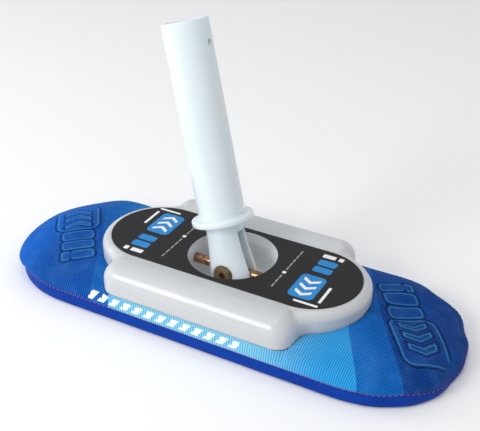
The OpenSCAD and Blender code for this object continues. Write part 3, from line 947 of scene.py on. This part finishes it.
def make_label_print(white, blue):
    """A plain mark of bars and chevrons at each end, and a thin broken rule beside the opening."""
    blues = [rounded_shape(MARK_X, y, 4.6, 2.3, 1.2) for y in (-13.6, -7.6)]
    blues.append(rounded_shape(MARK_X + 0.6, 7.6, 6.2, 9.4, 2.6))
    whites = [rounded_shape(MARK_X + x, -19.4, half, 1.4, 0.3) for x, half in ((-4.4, 1.2), (1.6, 3.2))]
    chevron = [(-3.4, -1.0), (0.6, 1.6), (4.6, -1.0), (4.6, 1.0), (0.6, 3.6), (-3.4, 1.0)]
    whites += [[(MARK_X + x, up + y) for x, y in chevron] for up in (1.6, 6.6, 11.6)]
    whites.append(rounded_shape(MARK_X - 9.2, 10.0, 0.7, 6.5, 0.5))
    whites.append(rounded_shape(MARK_X - 4.0, 19.4, 5.9, 0.7, 0.5))
    whites.append(rounded_shape(RULE_X, 2.2, 0.9, 0.9, 0.1))
    dashes = (-16.4, -12.6, -8.8, -5.0, -1.4, 6.0, 9.8, 13.6)
    rule = [rounded_shape(RULE_X, y, 0.32, 1.5, 0.15) for y in dashes]
    grey = ink_material("grey_ink", rgb(168, 168, 168), rgb(120, 120, 120))
    print_layer("label_print_blue", blues, 0.03, blue)
    print_layer("label_print_white", whites, 0.05, white)
    print_layer("label_print_rule", rule, 0.04, grey)


# ---------------------------------------------------------------- stage

def direction(azimuth, elevation):
    """Unit vector from the object towards a viewer at these angles, in degrees."""
    a, e = math.radians(azimuth), math.radians(elevation)
    return Vector((math.cos(e) * math.sin(a), -math.cos(e) * math.cos(a), math.sin(e)))


def add_camera():
    """The camera at the photograph's place, with its slight roll."""
    data = bpy.data.cameras.new("camera")
    data.sensor_width = 36.0
    data.lens = CAMERA_LENS_MM
    camera = bpy.data.objects.new("camera", data)
    bpy.context.scene.collection.objects.link(camera)
    back = direction(*CAMERA_FACING)
    right = Vector((0, 0, 1)).cross(back).normalized()
    up = back.cross(right)
    roll = math.radians(CAMERA_ROLL)
    tilted_right = right * math.cos(roll) + up * math.sin(roll)
    tilted_up = up * math.cos(roll) - right * math.sin(roll)
    turn = Matrix((tilted_right, tilted_up, back)).transposed()
    camera.matrix_world = Matrix.Translation(direction(*CAMERA_PLACE) * CAMERA_DISTANCE) @ turn.to_4x4()
    bpy.context.scene.camera = camera


def add_area_light(name, azimuth, elevation, distance, size, power_w, colour=(1.0, 1.0, 1.0)):
    """A soft round light that faces the object."""
    data = bpy.data.lights.new(name, "AREA")
    data.shape = "DISK"
    data.size = size
    data.energy = power_w
    data.color = colour
    light = bpy.data.objects.new(name, data)
    bpy.context.scene.collection.objects.link(light)
    towards = direction(azimuth, elevation)
    light.location = towards * distance + Vector((0, 0, 0.03))
    light.rotation_euler = towards.to_track_quat("Z", "Y").to_euler()


def add_stage():
    """A pale floor, an even sky and three soft lights."""
    mesh = bpy.data.meshes.new("floor")
    mesh.from_pydata([(-4, -4, 0), (4, -4, 0), (4, 4, 0), (-4, 4, 0)], [], [(0, 1, 2, 3)])
    floor = bpy.data.objects.new("floor", mesh)
    floor.location.z = -0.0002
    bpy.context.scene.collection.objects.link(floor)
    n = Nodes("pale_floor")
    n.set(Base_Color=(0.96, 0.96, 0.96, 1.0), Roughness=0.9, Specular_IOR_Level=0.1)
    mesh.materials.append(n.material)
    world = bpy.data.worlds.new("studio")
    bpy.context.scene.world = world
    world.use_nodes = True
    background = world.node_tree.nodes["Background"]
    background.inputs["Color"].default_value = (0.97, 0.98, 1.0, 1.0)
    background.inputs["Strength"].default_value = 0.64
    add_area_light("key", -28, 28, 0.9, 0.4, 3.6)
    add_area_light("top", 20, 80, 1.0, 0.6, 1.3)
    add_area_light("window", -80, 22, 0.8, 0.3, 0.9, (0.86, 0.95, 1.0))
    bpy.context.scene.view_settings.view_transform = "Standard"


# ---------------------------------------------------------------- everything

def assign(node, material):
    """Gives a CAD node its material."""
    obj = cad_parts[node]
    for place in obj.material_slots:
        place.material = material
    if not obj.material_slots:
        obj.data.materials.append(material)


def main():
    """The stage, the detailed pieces, and the materials of the CAD nodes that stay."""
    add_camera()
    add_stage()
    housing_plastic = milky_plastic("milky_housing", rgb(203, 204, 205), 0.3, 0.35)
    ferrule_plastic = milky_plastic("milky_ferrule", rgb(224, 233, 237), 0.17, 0.45)
    # The cup is the housing's milky plastic painted lighter, as painted light inside the shaded bowl.
    cup_plastic = milky_plastic("cup_plastic", rgb(242, 243, 245), 0.34, 0.4)
    copper = metal("worn_copper", rgb(196, 150, 118), rgb(128, 96, 76), 0.19, turned=(0.15, 1.0, 1.0))
    bronze = metal("dark_bronze", rgb(176, 150, 116), rgb(112, 92, 70), 0.34)
    steel = metal("zinc_steel", rgb(190, 192, 196), rgb(140, 142, 148), 0.3)
    plate_plastic = plain_plastic("plate_plastic", rgb(228, 229, 230), rgb(214, 216, 219), 0.42)
    catch_plastic = plain_plastic("catch_plastic", rgb(238, 238, 236), rgb(224, 224, 222), 0.35)
    foam = foam_material()

    make_top_cloth(printed_cloth_material())
    make_crown_foam(foam)
    make_sole_cloth(sole_cloth_material())
    make_sole_foam(foam)
    make_stitches(thread_material())
    make_housing(housing_plastic)
    make_ferrule(ferrule_plastic)
    white_ink = ink_material("white_ink", rgb(242, 240, 238), rgb(224, 218, 214))
    blue_ink = ink_material("blue_ink", rgb(0, 134, 206), rgb(0, 118, 186))
    make_label_print(white_ink, blue_ink)

    assign("pad_plate", plate_plastic)
    assign("snap_catches", catch_plastic)
    assign("deck_label", label_material())
    assign("swivel_cup", cup_plastic)
    assign("cup_screws", steel)
    for node in ("cross_hub", "trunnion_pin_left", "trunnion_pin_right"):
        assign(node, copper)
    for node in ("pivot_barrel", "pivot_screw"):
        assign(node, bronze)


main()
